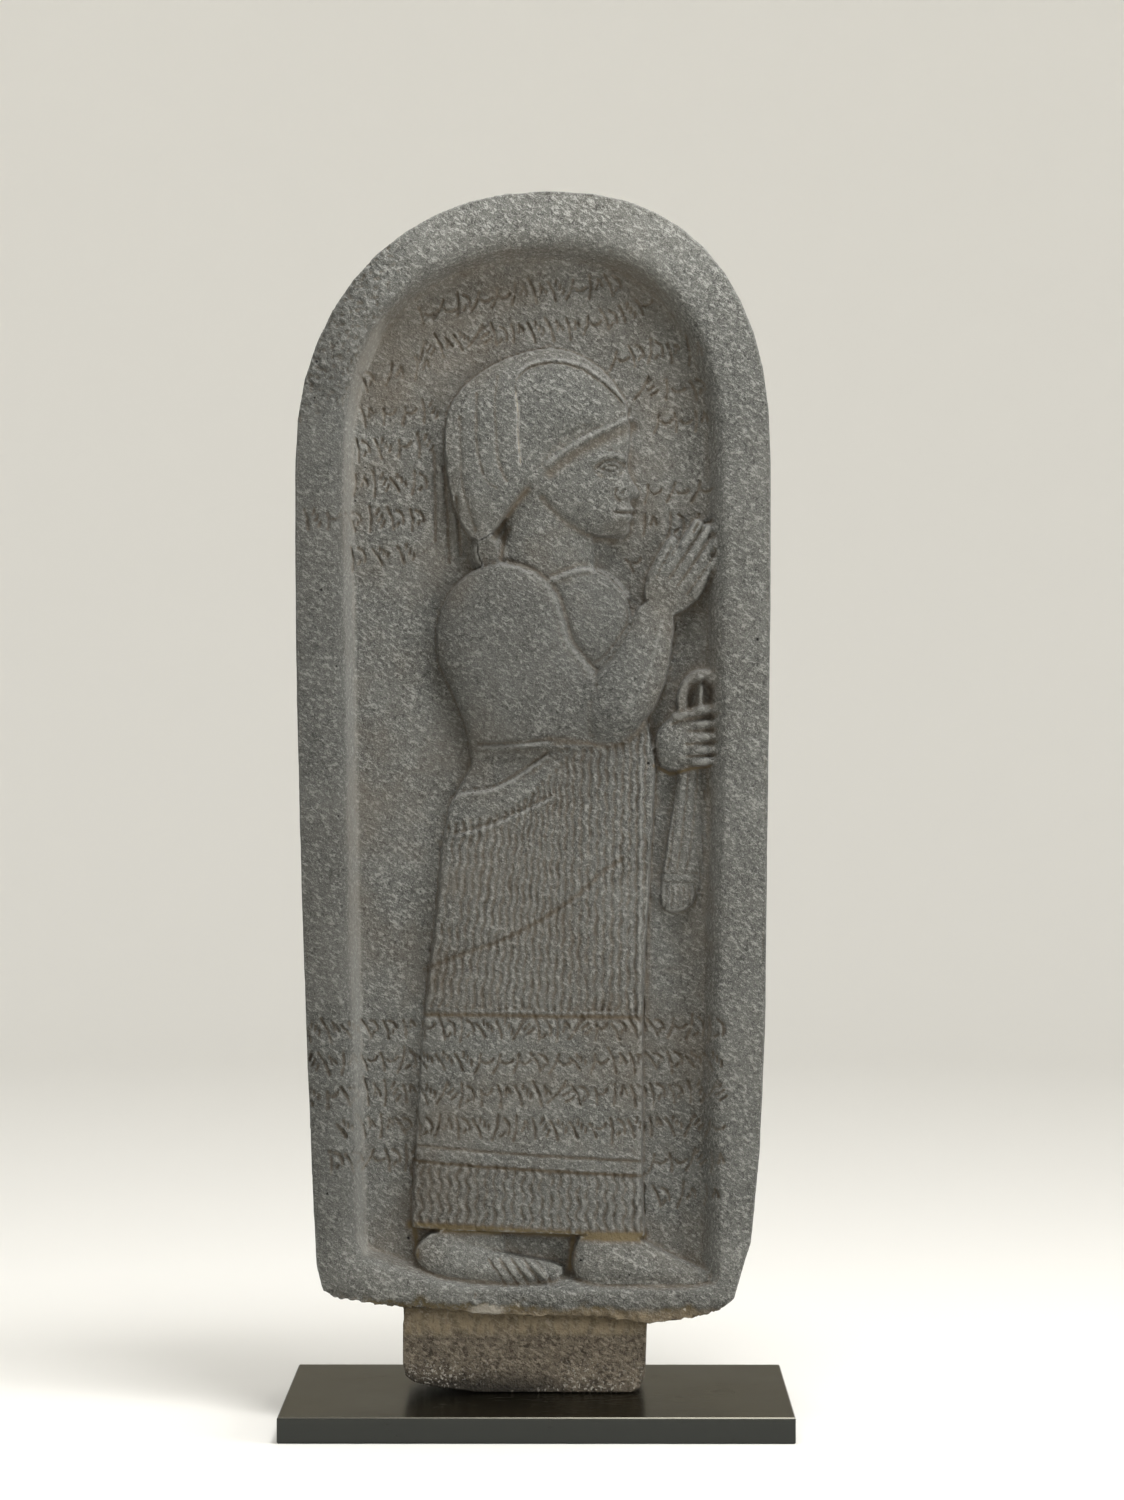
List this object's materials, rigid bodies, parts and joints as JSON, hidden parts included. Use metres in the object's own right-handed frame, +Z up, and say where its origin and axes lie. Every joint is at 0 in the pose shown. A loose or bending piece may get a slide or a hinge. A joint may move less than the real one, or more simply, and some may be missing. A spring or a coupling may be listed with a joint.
{
  "type": "carved stone stele",
  "caption": "Round-topped basalt stele with a sunk panel holding a standing figure in low relief, its tenon resting on a flat rectangular metal plate.",
  "frame": {"origin": "centre of the plate's underside", "axes": "+Z up, the carved face towards -Y, +X to the right of a viewer who faces the carving"},
  "size_m": [0.391, 0.28, 0.955],
  "materials": {
    "basalt": "matt, pecked and weathered",
    "dark_steel": "dark, semi-gloss"
  },
  "bodies": {
    "root": {"stele": "basalt", "base_plate": "dark_steel"}
  },
  "joints": []
}
